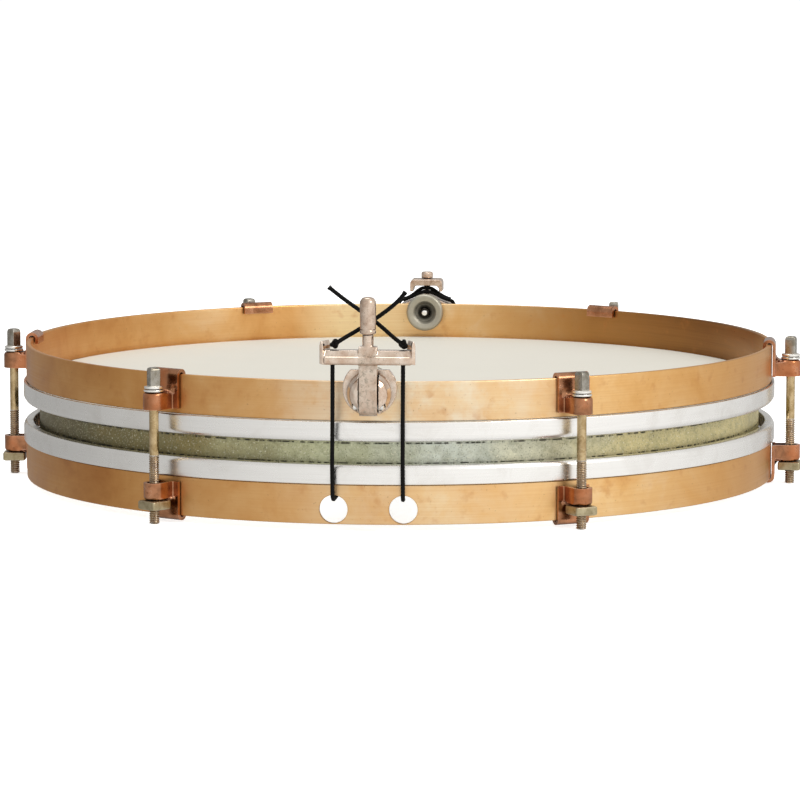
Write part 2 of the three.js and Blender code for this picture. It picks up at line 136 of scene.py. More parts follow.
class Shape:
    """Vertices and faces in millimetres, gathered from simple builders."""

    def __init__(self):
        self.verts, self.faces = [], []

    def add(self, verts, faces, matrix=None):
        start = len(self.verts)
        self.verts += [matrix @ Vector(v) for v in verts] if matrix else [Vector(v) for v in verts]
        self.faces += [tuple(start + i for i in f) for f in faces]
        return self

    def grid(self, rows, wrap_rows=False, wrap_cols=True, caps=False, matrix=None):
        """Rows of points, each row as long as the next, joined by quads."""
        n, m = len(rows), len(rows[0])
        faces = [
            (i * m + j, i * m + (j + 1) % m, (i + 1) % n * m + (j + 1) % m, (i + 1) % n * m + j)
            for i in range(n if wrap_rows else n - 1)
            for j in range(m if wrap_cols else m - 1)
        ]
        if caps:
            faces += [tuple(range(m - 1, -1, -1)), tuple((n - 1) * m + j for j in range(m))]
        return self.add([p for row in rows for p in row], faces, matrix)

    def lathe(self, profile, segments, ring=False, matrix=None, turn=None):
        """[radius, height] points turned about Z. turn(radius, height, angle) gives another radius."""
        rows = []
        for r, z in profile:
            row = []
            for k in range(segments):
                a = 2 * math.pi * k / segments
                q = turn(r, z, a) if turn else r
                row.append((q * math.sin(a), -q * math.cos(a), z))
            rows.append(row)
        return self.grid(rows, wrap_rows=ring, caps=not ring, matrix=matrix)

    def tube(self, line, radius, sides, weave, closed=False, taper=None):
        """A round tube along the line. weave is the depth of a braid's pattern."""
        line = [Vector(p) for p in line]
        n = len(line)
        normal = None
        rows, along = [], 0.0
        for i, p in enumerate(line):
            ahead = line[(i + 1) % n] if closed else line[min(i + 1, n - 1)]
            behind = line[i - 1] if closed else line[max(i - 1, 0)]
            way = (ahead - behind).normalized()
            if normal is None:
                normal = way.orthogonal().normalized()
            normal = (normal - way * normal.dot(way)).normalized()
            side = way.cross(normal)
            along += (p - line[i - 1]).length if i else 0.0
            size = radius * (taper(i / (n - 1)) if taper else 1.0)
            row = []
            for k in range(sides):
                a = 2 * math.pi * k / sides
                strand = math.cos(3 * a + along * 1.9) * math.cos(3 * a - along * 1.9)
                r = size * (1 + weave * (strand - 0.3))
                row.append(p + (normal * math.cos(a) + side * math.sin(a)) * r)
            rows.append(row)
        return self.grid(rows, wrap_rows=closed, caps=not closed)


def make(name, shape, material, sharp=35.0):
    """A mesh object in metres from a Shape in millimetres, with heights from the mid-plane."""
    mesh = bpy.data.meshes.new(name)
    mesh.from_pydata([(v.x * MM, v.y * MM, level(v.z)) for v in shape.verts], [], shape.faces)
    work = bmesh.new()
    work.from_mesh(mesh)
    bmesh.ops.remove_doubles(work, verts=work.verts, dist=1e-7)
    bmesh.ops.recalc_face_normals(work, faces=work.faces)
    work.to_mesh(mesh)
    work.free()
    obj = bpy.data.objects.new(name, mesh)
    bpy.context.scene.collection.objects.link(obj)
    mesh.materials.append(material)
    smooth(obj, sharp)
    return obj


def smooth(obj, sharp):
    """Smooth shading, but for edges sharper than this many degrees."""
    obj.data.shade_smooth()
    obj.data.set_sharp_from_angle(angle=math.radians(sharp))


def modify(obj, kind, **values):
    modifier = obj.modifiers.new(kind.lower(), kind)
    for key, value in values.items():
        setattr(modifier, key, value)
    return modifier


def apply(obj, sharp=35.0):
    """Makes the modifiers' result the object's own mesh."""
    graph = bpy.context.evaluated_depsgraph_get()
    mesh = bpy.data.meshes.new_from_object(obj.evaluated_get(graph))
    obj.modifiers.clear()
    obj.data = mesh
    smooth(obj, sharp)
    return obj


def drilled(obj, *cutters):
    """Takes the cutters out of obj."""
    for cutter in cutters:
        modify(obj, "BOOLEAN", operation="DIFFERENCE", solver="EXACT", object=cutter)
    apply(obj)
    for cutter in cutters:
        bpy.data.objects.remove(cutter)
    return obj


def on_body(obj, body, *nodes):
    """obj rides on the body in place of the CAD nodes."""
    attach(obj, body)
    if nodes:
        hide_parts(*nodes)
    return obj


def at_station(degrees):
    return Matrix.Rotation(math.radians(degrees), 4, "Z")


def out_from(side, x, z):
    """Local Z along a radius of the drum, through x and height z, at the front or the rear."""
    return at_station(side) @ Matrix.Translation((x, 0, z)) @ Matrix.Rotation(math.radians(90), 4, "X")


def moved(shape, matrix):
    return Shape().add(shape.verts, shape.faces, matrix)


# ---- materials ----
def srgb(r, g, b):
    """Linear colour of an 8-bit sRGB one."""
    def one(c):
        c /= 255
        return c / 12.92 if c <= 0.04045 else ((c + 0.055) / 1.055) ** 2.4
    return (one(r), one(g), one(b), 1.0)


class Surface:
    """A procedural material; colours and heights are read from places in the row frame."""

    def __init__(self, name, **constants):
        self.mat = bpy.data.materials.new(name)
        self.mat.use_nodes = True
        self.nodes, self.links = self.mat.node_tree.nodes, self.mat.node_tree.links
        self.bsdf = self.nodes["Principled BSDF"]
        self.place = self.nodes.new("ShaderNodeTexCoord").outputs["Object"]
        for key, value in constants.items():
            self.bsdf.inputs[key.replace("_", " ")].default_value = value

    def node(self, kind, inputs=(), **settings):
        made = self.nodes.new(kind)
        for key, value in settings.items():
            setattr(made, key, value)
        for key, value in dict(inputs).items():
            if isinstance(value, bpy.types.NodeSocket):
                self.links.new(value, made.inputs[key])
            elif value is not None:
                made.inputs[key].default_value = value
        return made

    def scaled(self, x, y, z):
        return self.node("ShaderNodeMapping", {"Vector": self.place, "Scale": (x, y, z)}).outputs[0]

    def noise(self, scale, detail=4.0, rough=0.55, vector=None, distortion=0.0):
        return self.node("ShaderNodeTexNoise", {
            "Vector": vector or self.place, "Scale": scale, "Detail": detail,
            "Roughness": rough, "Distortion": distortion,
        }).outputs[0]

    def ramp(self, fac, *stops):
        made = self.node("ShaderNodeValToRGB", {"Fac": fac})
        ramp = made.color_ramp
        while len(ramp.elements) < len(stops):
            ramp.elements.new(0.5)
        for element, (at, colour) in zip(ramp.elements, stops):
            element.position = at
            element.color = colour if isinstance(colour, tuple) else (colour,) * 3 + (1.0,)
        return made.outputs[0]

    def span(self, value, low, high, to_low=0.0, to_high=1.0):
        return self.node("ShaderNodeMapRange", {
            "Value": value, "From Min": low, "From Max": high, "To Min": to_low, "To Max": to_high,
        }).outputs[0]

    def calc(self, operation, a, b=None):
        return self.node("ShaderNodeMath", {0: a, 1: b}, operation=operation).outputs[0]

    def times(self, a, b):
        return self.calc("MULTIPLY", a, b)

    def plus(self, a, b):
        return self.calc("ADD", a, b)

    def away(self, value, centre):
        """How far the value is from the centre, on either side."""
        return self.calc("ABSOLUTE", self.calc("SUBTRACT", value, centre))

    def mix(self, fac, a, b):
        return self.node("ShaderNodeMix", {0: fac, 6: a, 7: b}, data_type="RGBA").outputs[2]

    def axis(self, name):
        return self.node("ShaderNodeSeparateXYZ", {0: self.place}).outputs[name]

    def edges(self, radius):
        """1 on rounded edges and 0 elsewhere, from how far the surface is from its bevelled self; the
        materials paint highlights and dark reflections along them.
        """
        bevel = self.node("ShaderNodeBevel", {"Radius": radius}, samples=4).outputs[0]
        flat = self.node("ShaderNodeNewGeometry").outputs["Normal"]
        dot = self.node("ShaderNodeVectorMath", {0: bevel, 1: flat}, operation="DOT_PRODUCT")
        return self.span(dot.outputs["Value"], 0.99, 0.84)

    def crevice(self, reach, low, high):
        """1 in corners and gaps and 0 in the open; the materials darken there as painted shade."""
        open_sky = self.node("ShaderNodeAmbientOcclusion", {"Distance": reach}, samples=6).outputs["AO"]
        return self.span(open_sky, high, low)

    def wear(self, colour, rough, bump, depth, strength):
        """Joins up the finished material; rough is None where one roughness serves everywhere."""
        self.links.new(colour, self.bsdf.inputs["Base Color"])
        if rough is not None:
            self.links.new(rough, self.bsdf.inputs["Roughness"])
        made = self.node("ShaderNodeBump", {"Strength": strength, "Distance": depth, "Height": bump})
        self.links.new(made.outputs[0], self.bsdf.inputs["Normal"])
        return self.mat


def raw_brass():
    s = Surface("raw_brass", Metallic=1.0)
    x, y = s.axis("X"), s.axis("Y")
    cloud = s.noise(26, 5, 0.6, distortion=0.4)
    warm = s.ramp(
        cloud, (0.28, srgb(186, 122, 66)), (0.45, srgb(206, 146, 84)), (0.6, srgb(216, 160, 96)),
        (0.78, srgb(226, 176, 116)),
    )
    pale_tarnish_and_reflection = s.ramp(
        cloud, (0.28, srgb(224, 170, 102)), (0.42, srgb(236, 188, 124)), (0.55, srgb(242, 202, 144)),
        (0.74, srgb(248, 226, 186)),
    )
    # Paler towards the right: partly pale tarnish, partly a painted reflection of the bright side; the
    # darker left is painted shade.
    tone = s.mix(s.span(x, -0.12, 0.03), warm, pale_tarnish_and_reflection)
    rear = s.span(y, 0.0, 0.1)
    # On the rear half, left of the middle, the inside of the hoop is painted pale: a painted reflection.
    tone = s.mix(s.times(rear, s.span(x, -0.02, -0.08, 0, 0.55)), tone, pale_tarnish_and_reflection)
    # A bright patch on the rear hoop just left of the middle: a painted highlight.
    rear_highlight = s.times(s.span(x, -0.07, -0.045), s.span(x, 0.01, -0.03))
    tone = s.mix(s.times(rear, rear_highlight), tone, srgb(248, 224, 176))
    # The far right end is painted more golden: a painted reflection.
    tone = s.mix(s.span(x, 0.11, 0.17, 0, 0.7), tone, srgb(214, 156, 88))
    # A whitish streaky patch on the front, just right of the middle: partly a painted highlight, partly
    # pale tarnish.
    highlight_and_pale_tarnish = s.times(s.span(s.noise(48, 6, 0.65), 0.4, 0.6, 0.3, 0.9), s.span(x, 0.1, 0.04))
    highlight_and_pale_tarnish = s.times(highlight_and_pale_tarnish, s.span(s.axis("Z"), level(-5), level(5), 0.3, 1.0))
    highlight_and_pale_tarnish = s.times(highlight_and_pale_tarnish, s.span(y, 0.05, -0.05))
    tone = s.mix(s.times(highlight_and_pale_tarnish, s.span(x, -0.05, 0.0)), tone, srgb(246, 238, 216))
    # On the rear half, right of the middle, the hoop is painted darker brown: painted shade.
    tone = s.mix(s.times(rear, s.span(x, 0.015, 0.09, 0, 0.96)), tone, srgb(168, 120, 66))
    tone = s.mix(s.times(rear, s.span(x, 0.1, 0.15, 0, 0.6)), tone, srgb(112, 76, 44))
    stain = s.span(s.noise(150, 3, 0.5), 0.6, 0.74, 0, 0.35)
    tone = s.mix(stain, tone, srgb(196, 130, 74))
    streak = s.noise(1, 4, 0.6, s.scaled(18, 18, 1500))
    tone = s.mix(s.span(streak, 0.35, 0.75, 0, 0.22), tone, srgb(206, 146, 86))
    speck = s.span(s.noise(900, 2, 0.5), 0.7, 0.76, 0, 0.35)
    tone = s.mix(speck, tone, srgb(120, 78, 46))
    # Rounded edges painted dark: a painted dark reflection.
    tone = s.mix(s.times(s.edges(0.0007), 0.75), tone, srgb(128, 84, 44))
    rough = s.plus(s.span(cloud, 0.3, 0.7, 0.3, 0.42), s.span(streak, 0.3, 0.7, -0.04, 0.05))
    return s.wear(tone, rough, s.plus(streak, s.noise(2200, 2)), 0.00003, 0.5)


def copper():
    s = Surface("tarnished_copper", Metallic=1.0)
    cloud = s.noise(120, 5, 0.6, distortion=0.5)
    tone = s.ramp(
        cloud, (0.3, srgb(124, 84, 60)), (0.45, srgb(166, 116, 84)), (0.6, srgb(190, 136, 102)),
        (0.75, srgb(222, 178, 150)),
    )
    orange = s.span(s.noise(60, 3, 0.5), 0.5, 0.65, 0, 0.45)
    tone = s.mix(orange, tone, srgb(200, 114, 64))
    grime = s.span(s.noise(420, 4, 0.6), 0.6, 0.75, 0, 0.6)
    tone = s.mix(grime, tone, srgb(100, 60, 42))
    # Darker in corners and gaps: painted shade.
    tone = s.mix(s.times(s.crevice(0.003, 0.25, 0.8), 0.7), tone, srgb(62, 34, 24))
    # Edges painted pale pink: a painted highlight.
    rim = s.edges(0.0006)
    tone = s.mix(s.times(rim, 0.6), tone, srgb(232, 176, 148))
    return s.wear(tone, s.span(cloud, 0.3, 0.7, 0.16, 0.3), s.noise(1500, 4), 0.00004, 0.4)


def patina():
    s = Surface("patinated_shell", Metallic=0.35)
    cloud = s.noise(45, 5, 0.6)
    # Darker at the left and paler right of the middle: partly the patina's own colours, partly painted
    # shade on the left and painted light on the right.
    along = s.plus(s.span(s.axis("X"), -0.16, 0.16), s.span(cloud, 0.3, 0.7, -0.05, 0.05))
    tone = s.ramp(
        along, (0.03, srgb(92, 80, 46)), (0.25, srgb(142, 128, 80)), (0.45, srgb(194, 196, 158)),
        (0.62, srgb(212, 218, 206)), (0.88, srgb(202, 189, 138)),
    )
    tone = s.mix(s.span(cloud, 0.35, 0.65, 0.3, 0.0), tone, srgb(96, 96, 66))
    tone = s.mix(s.span(s.noise(300, 5, 0.7), 0.45, 0.65, 0, 0.4), tone, srgb(116, 116, 84))
    tone = s.mix(s.span(s.noise(1300, 3, 0.6), 0.58, 0.7, 0, 0.8), tone, srgb(222, 220, 196))
    tone = s.mix(s.span(s.noise(1700, 2, 0.6), 0.6, 0.68, 0, 0.8), tone, srgb(66, 66, 48))
    height = s.axis("Z")
    for mark in (-5.5, 3.8):  # two broken dark lines round the shell
        band = s.span(s.away(height, level(mark)), 0.00015, 0.0006, 1, 0)
        dotted = s.span(s.noise(1, 2, 0.5, s.scaled(420, 420, 60)), 0.42, 0.56)
        tone = s.mix(s.times(band, dotted), tone, srgb(34, 32, 24))
    return s.wear(tone, s.span(cloud, 0.3, 0.7, 0.4, 0.55), s.noise(1500, 4), 0.00005, 0.6)


def aluminium():
    s = Surface("rolled_aluminium", Metallic=1.0)
    streak = s.noise(1, 4, 0.6, s.scaled(30, 30, 1900))
    tone = s.mix(streak, srgb(240, 238, 235), srgb(254, 253, 250))
    smear = s.span(s.noise(38, 5, 0.6, distortion=1.2), 0.5, 0.75, 0, 0.4)
    tone = s.mix(smear, tone, srgb(216, 210, 202))
    # Darker in corners and gaps: painted shade.
    tone = s.mix(s.crevice(0.004, 0.2, 0.75), tone, srgb(120, 114, 104))
    rough = s.span(s.noise(90, 4), 0.3, 0.7, 0.22, 0.32)
    return s.wear(tone, rough, streak, 0.00001, 0.2)


def coated_film():
    s = Surface("coated_film", Roughness=0.62)
    s.bsdf.inputs["Specular IOR Level"].default_value = 0.35
    cloud = s.noise(12, 4, 0.6)
    tone = s.mix(cloud, srgb(221, 218, 207), srgb(228, 225, 215))
    spray = s.noise(1500, 3, 0.7)
    tone = s.mix(s.span(spray, 0.6, 0.75, 0, 0.4), tone, srgb(210, 205, 190))
    return s.wear(tone, s.span(spray, 0.3, 0.7, 0.52, 0.7), spray, 0.00008, 0.6)


def clear_film():
    s = Surface("hazy_film", Roughness=0.28, Alpha=0.5)
    haze = s.noise(60, 4, 0.6)
    tone = s.mix(haze, srgb(214, 212, 206), srgb(238, 236, 230))
    return s.wear(tone, None, s.noise(900, 3), 0.00003, 0.4)


def plated(name, dark, light, roughs, stain=None, edge=None):
    """A plated metal between two tones with painted shade in corners, and stains and painted edge
    highlights where they are given.
    """
    s = Surface(name, Metallic=1.0)
    cloud = s.noise(240, 5, 0.62, distortion=0.4)
    tone = s.mix(s.span(cloud, 0.32, 0.68), srgb(*dark), srgb(*light))
    if stain:
        tone = s.mix(s.span(s.noise(520, 4, 0.65), 0.52, 0.7, 0, 0.5), tone, srgb(*stain))
    # Darker in corners and gaps: painted shade.
    tone = s.mix(s.times(s.crevice(0.0015, 0.2, 0.8), 0.8), tone, srgb(48, 42, 36))
    if edge:
        # Edges painted in the edge colour: a painted highlight.
        tone = s.mix(s.edges(0.0005), tone, srgb(*edge))
    return s.wear(tone, s.span(cloud, 0.3, 0.7, *roughs), s.noise(1800, 4, 0.6), 0.00004, 0.4)


def rough_casting():
    """Bright warm nickel, with the sand's grain left along the middle of the arm, painted shade in corners
    and painted highlights on edges.
    """
    s = Surface("cast_nickel", Metallic=1.0)
    cloud = s.noise(170, 5, 0.6, distortion=0.4)
    tone = s.mix(s.span(cloud, 0.32, 0.68), srgb(206, 178, 156), srgb(242, 226, 210))
    across = s.away(s.axis("X"), STRAINER_X * MM)
    below_bar = s.span(s.axis("Z"), level(49), level(46))
    arm = s.times(s.span(across, 0.0044, 0.0036), below_bar)
    grain = s.noise(700, 5, 0.7, distortion=0.8)
    flecks = s.times(arm, s.span(grain, 0.5, 0.66, 0.15, 1.0))
    tone = s.mix(s.times(flecks, 0.8), tone, srgb(142, 134, 118))
    pits = s.span(s.noise(1100, 3, 0.6), 0.64, 0.72, 0, 0.5)
    tone = s.mix(pits, tone, srgb(84, 70, 58))
    # Darker in corners and gaps: painted shade.
    tone = s.mix(s.crevice(0.0035, 0.3, 0.85), tone, srgb(52, 42, 36))
    # Edges painted near white: a painted highlight.
    tone = s.mix(s.edges(0.0006), tone, srgb(252, 244, 234))
    rough = s.plus(s.span(cloud, 0.3, 0.7, 0.1, 0.22), s.times(arm, 0.16))
    return s.wear(tone, rough, s.times(grain, s.plus(arm, 0.1)), 0.00016, 0.7)


def around_stud(name, side, near, far, inner, outer, rough):
    """A metal of two tones, one about the stud's axis and the other beyond it; they paint a shaded dark
    dish on the thumb nuts and a glint with shaded sides on the stud.
    """
    s = Surface(name, Metallic=1.0)
    x, z = STUD_PLACE[side]
    across = s.calc("SUBTRACT", s.axis("X"), x * MM)
    up = s.calc("SUBTRACT", s.axis("Z"), level(z))
    squares = s.plus(s.times(across, across), s.times(up, up))
    grain = s.noise(600, 3, 0.5)
    bright = s.mix(s.span(grain, 0.35, 0.65, 0, 0.3), srgb(*far), srgb(*[0.9 * c for c in far]))
    tone = s.mix(s.span(s.calc("SQRT", squares), inner * MM, outer * MM), srgb(*near), bright)
    return s.wear(tone, s.span(grain, 0.3, 0.7, rough, rough + 0.08), grain, 0.00003, 0.5)


def waxed_cord():
    s = Surface("braided_cord", Roughness=0.6)
    s.bsdf.inputs["Specular IOR Level"].default_value = 0.12
    strand = s.noise(2600, 3, 0.6)
    return s.wear(s.mix(strand, srgb(2, 2, 2), srgb(12, 11, 10)), None, strand, 0.0001, 0.8)


def aged_rod():
    """Grey head, olive-gold shank and browner threads, with the flange painted near white as a highlight,
    painted shade in gaps and painted highlights on edges.
    """
    s = Surface("aged_rod", Metallic=1.0)
    cloud = s.noise(240, 5, 0.62, distortion=0.4)
    mottle = s.span(cloud, 0.34, 0.66)
    shank = s.mix(mottle, srgb(166, 140, 98), srgb(216, 192, 150))
    thread = s.mix(mottle, srgb(132, 102, 68), srgb(190, 162, 122))
    head = s.mix(mottle, srgb(134, 126, 110), srgb(178, 174, 166))
    height = s.axis("Z")
    tone = s.mix(s.span(height, level(-4.6), level(-4.1)), thread, shank)
    # The flange's height is painted near white: a painted highlight.
    tone = s.mix(s.span(height, level(26.2), level(26.5)), tone, srgb(244, 241, 235))
    tone = s.mix(s.span(height, level(27.9), level(28.0)), tone, head)
    # Darker in corners and gaps: painted shade.
    tone = s.mix(s.times(s.crevice(0.001, 0.2, 0.8), 0.8), tone, srgb(44, 36, 28))
    # Edges painted pale: a painted highlight.
    tone = s.mix(s.edges(0.0005), tone, srgb(244, 240, 232))
    return s.wear(tone, s.span(cloud, 0.3, 0.7, 0.2, 0.34), s.noise(1800, 4, 0.6), 0.00004, 0.7)


BRASS, COPPER, PATINA, ALUMINIUM = raw_brass(), copper(), patina(), aluminium()
COATED, CLEAR, CORD, CAST = coated_film(), clear_film(), waxed_cord(), rough_casting()
BRIGHT = plated("bright_steel", (222, 218, 210), (250, 248, 244), (0.14, 0.26))
ROD = aged_rod()
NUT = plated("aged_nut", (150, 136, 104), (196, 184, 152), (0.34, 0.5), (108, 92, 66), (222, 212, 188))
NICKEL = plated(
    "satin_nickel", (196, 170, 150), (232, 212, 194), (0.18, 0.3), (150, 124, 104), (250, 236, 222)
)
WIRE = plated("snare_wire", (176, 172, 164), (222, 218, 208), (0.18, 0.28))
PLATE = plated("snare_plate", (176, 132, 76), (208, 166, 104), (0.28, 0.42), (128, 88, 52))
# The thumb nut's dish is painted dark round the stud: painted shade.
DISH_SHADE = {
    side: around_stud(f"frosted_nickel_shaded_dish_{side}", side, (26, 24, 22), (180, 175, 160), 2.2, 5.4, 0.42)
    for side in STUD_PLACE
}
# The stud's tip is painted near white and its sides dark: a painted glint and painted shade.
STUD_GLINT_AND_SHADE = {
    side: around_stud(f"stud_steel_glint_and_shade_{side}", side, (252, 250, 246), (44, 40, 36), 1.2, 1.5, 0.2)
    for side in STUD_PLACE
}


# ---- shell, heads and hoops ----
def flipped(profile):
    return [(r, -z) for r, z in reversed(profile)]


def ring(name, profile, material, node):
    on_body(make(name, Shape().lathe(profile, ROUND, ring=True), material), "root", node)


def film_profile(thick):
    """A film lying on the shell, with its collar turned down outside it: lower side, then upper."""
    flat, collar, hem = 15.3, 183, 8.2
    across = (0.02, 60, 120, 160)
    lower = [(r, flat) for r in across] + [(178, flat), (180.4, 14.0), (collar, 13.0), (collar, hem)]
    upper = [(collar + thick, hem), (collar + thick, 13 + thick), (180.6, 14 + thick)]
    upper += [(178.2, flat + thick)] + [(r, flat + thick) for r in reversed(across)]
    bends = [0, 0, 0, 0, 3.0, 1.5, 1.2, 0.1]
    return rounded(lower + upper, bends + bends[::-1], 4, closed=False)


def add_shell_and_heads():
    inside, outside = 176.6, 177.8
    bead = [(inside, -14.6), (177.0, -15.0), (177.4, -15.0), (outside, -14.4), (outside, -7), (outside, 0)]
    bead += [(outside, 7), (outside, 14.4), (177.4, 15.0), (177.0, 15.0), (inside, 14.6), (inside, 0)]
    ring("shell_wall", bead, PATINA, "shell")
    flesh = rounded(
        [(180.8, 5.2), (184.4, 5.2), (185.6, 7.0), (185.6, 14.4), (184.0, 14.4), (184.0, 7.2), (182.4, 7.2),
         (182.4, 12.6), (180.8, 12.6)],
        [0.6, 1.4, 2.6, 0.6, 0.4, 0.3, 0.3, 0.5, 0.5], 5,
    )
    ring("batter_flesh_ring", flesh, ALUMINIUM, "batter_flesh_hoop")
    ring("snare_flesh_ring", flipped(flesh), ALUMINIUM, "snare_flesh_hoop")
    for name, thick, material, node, turn in (
        ("batter_film", 0.4, COATED, "batter_head_film", list),
        ("snare_film", 0.3, CLEAR, "snare_head_film", flipped),
    ):
        obj = make(name, Shape().lathe(turn(film_profile(thick)), ROUND), material, 40)
        on_body(obj, "root", node)


def hole_cutter(side, x, z, radius):
    """A round bar along a radius of the drum, through both faces of a hoop."""
    shape = Shape().lathe([(radius, 175), (radius, 190)], 64, matrix=out_from(side, x, z))
    return make("cutter", shape, BRASS)


def add_counterhoops():
    band = rounded([(182.0, 14.7), (184.2, 14.7), (184.2, 33.0), (182.0, 33.0)], [0.45, 0.45, 0.7, 0.7], 4)
    stud_holes = [(side, *STUD_PLACE[side], 2.8) for side in (FRONT, REAR)]
    cord_holes = [(side, x, -26.0, 6.5) for side in (FRONT, REAR) for x in (-16, 16)]
    for name, profile, holes, node in (
        ("batter_hoop_band", band, stud_holes, "batter_hoop"),
        ("snare_hoop_band", flipped(band), cord_holes, "snare_hoop"),
    ):
        obj = make(name, Shape().lathe(profile, ROUND, ring=True), BRASS)
        drilled(obj, *[hole_cutter(*hole) for hole in holes])
        on_body(obj, "root", node)


# ---- tension stations ----
CLAW_MID = 185.25  # radius of the middle of the claw's sheet
SHEET = 1.5


def claw_section():
    """Half of the pocket's section, from its middle outwards: [across, out from the plate, length]."""
    reach, half, fillet = ROD_CIRCLE - CLAW_MID, 4.25, 1.3
    points = [
        (half * math.sin(a), reach + half * math.cos(a))
        for a in (math.radians(90 * k / 9) for k in range(10))
    ]
    points += [(half, fillet + (reach - fillet) * k / 5) for k in range(4, -1, -1)]
    points += [
        (half + fillet * (1 - math.cos(a)), fillet * (1 - math.sin(a)))
        for a in (math.radians(90 * k / 5) for k in range(1, 6))
    ]
    points += [(half + fillet + (8 - half - fillet) * k / 3, 0.0) for k in range(1, 4)]
    lengths = [0.0]
    for a, b in zip(points, points[1:]):
        lengths.append(lengths[-1] + math.dist(a, b))
    return [(x, d, s / lengths[-1]) for (x, d), s in zip(points, lengths)]


def claw_shape():
    """A pressed sheet: a pocket round the rod, a flat plate and a hook over the hoop's rim."""
    half = claw_section()
    section = [(-x, d, -s) for x, d, s in reversed(half[1:])] + half
    bulge = [(1, 17.0), (1, 17.3), (1, 18.5), (1, 20), (1, 21.5), (1, 22.8), (1, 23.3)]
    bulge += [
        (1 - 0.9 * (1 - math.cos(a)) / 12.4, 23.3 + 0.95 * math.sin(a))
        for a in (math.radians(22.5 * k) for k in range(1, 5))
    ]
    bulge += [(0.88 - 0.055 * k, 24.25) for k in range(9)]
    bulge += [(0.36, 24.28), (0.29, 24.36), (0.23, 24.52), (0.17, 24.85), (0.12, 25.3), (0.07, 26.0),
              (0.03, 26.9), (0.0, 28.0)]
    rows = [
        [(x * s + 8 * t * (1 - s), -(CLAW_MID + d * s), z) for x, d, t in section] for s, z in bulge
    ]
    path = [(CLAW_MID, z) for z in (29.2, 30.5, 31.6)]
    hook = (CLAW_MID - 180.45) / 2
    path += [
        (CLAW_MID - hook + hook * math.cos(a), 32.15 + hook * math.sin(a))
        for a in (math.radians(18 * k) for k in range(11))
    ]
    path += [(180.45, 31.2), (180.4, 30.3), (180.45, 29.6)]
    rows += [[(8 * t, -r, z) for x, d, t in section] for r, z in path]
    return Shape().grid(rows, wrap_cols=False)


def claw_mesh():
    """One upper claw with its thickness, its rod hole and softened edges, about the front."""
    obj = make("claw", claw_shape(), COPPER)
    work = bmesh.new()
    work.from_mesh(obj.data)
    bored = [
        v for v in work.verts
        if math.hypot(v.co.x, v.co.y + ROD_CIRCLE * MM) < 2.7 * MM and v.co.z > level(24)
    ]
    bmesh.ops.delete(work, geom=bored, context="VERTS")
    work.to_mesh(obj.data)
    work.free()
    modify(obj, "SOLIDIFY", thickness=SHEET * MM, offset=0.0, use_even_offset=False)
    apply(obj)
    modify(obj, "BEVEL", width=0.28 * MM, segments=2, limit_method="ANGLE", angle_limit=math.radians(60))
    apply(obj, 50)
    mesh = obj.data
    bpy.data.objects.remove(obj)
    return mesh


def copy_of(mesh, name, matrix, body, node):
    """A copy of a mesh with the matrix applied to its points, so that its finish differs by place."""
    copy = mesh.copy()
    copy.transform(matrix)
    if matrix.determinant() < 0:
        copy.flip_normals()
    obj = bpy.data.objects.new(name, copy)
    bpy.context.scene.collection.objects.link(obj)
    return on_body(obj, body, node)


def square_row(half, z, corner=0.4, steps=3):
    """A square outline with rounded corners at one height."""
    row = []
    for sx, sy, start in ((1, -1, -90), (1, 1, 0), (-1, 1, 90), (-1, -1, 180)):
        for k in range(steps + 1):
            a = math.radians(start + 90 * k / steps)
            x = sx * (half - corner) + corner * math.cos(a)
            row.append((x, sy * (half - corner) + corner * math.sin(a), z))
    return row


def rod_shape(head_turn):
    """A threaded rod with a flange and a domed square head, about the drum's own axis."""
    pitch, crest, root = 1.058, 2.4, 1.98
    low, length = -35.95, 31.3  # of the thread

    def thread(radius, height, angle):
        if not low + 0.05 <= height <= low + length - 0.05:
            return radius
        phase = (height / pitch + angle / (2 * math.pi)) % 1.0
        return root + (crest - root) * min(1.0, 1.25 * abs(2 * phase - 1))

    steps = round(length / (pitch / 8))
    profile = [(1.7, -36.3), (1.95, -36.05)]
    profile += [(crest, low + length * k / steps) for k in range(steps + 1)]
    profile += [(2.12, -4.35), (2.2, -4.0), (2.2, 8), (2.2, 20), (2.2, 26.2), (2.5, 26.6)]
    shape = Shape().lathe(profile, 20, turn=thread)
    flange = [(0.5, 26.6), (4.5, 26.6), (4.5, 27.9), (0.5, 27.9)]
    shape.lathe(rounded(flange, [0, 0.45, 0.45, 0], 3, closed=False), 36)
    head = [(2.2, 27.5), (2.5, 27.8), (2.5, 31), (2.5, 34.6), (2.46, 35.2), (2.32, 35.75), (2.0, 36.2),
            (1.5, 36.45), (0.9, 36.5)]
    turn = Matrix.Rotation(math.radians(head_turn), 4, "Z")
    return shape.grid([square_row(half, z) for half, z in head], caps=True, matrix=turn)


def nut_shape(turn):
    """A square nut with chamfered corners and a round bore."""
    half, low, high = 5.5, -29.5, -25.3
    rows = [
        square_row(half - 0.55, low, 1.3, 4), square_row(half - 0.12, low + 0.3, 0.95, 4),
        square_row(half, low + 0.75, 0.75, 4), square_row(half, high - 0.75, 0.75, 4),
        square_row(half - 0.12, high - 0.3, 0.95, 4), square_row(half - 0.55, high, 1.3, 4),
    ]
    around = [math.atan2(p[1], p[0]) for p in rows[0]]

    def bore(radius, z):
        return [(radius * math.cos(a), radius * math.sin(a), z) for a in around]

    rows += [bore(3.0, high), bore(2.6, high - 0.4), bore(2.6, low + 0.4), bore(3.0, low)]
    return Shape().grid(rows, wrap_rows=True, matrix=Matrix.Rotation(math.radians(turn), 4, "Z"))


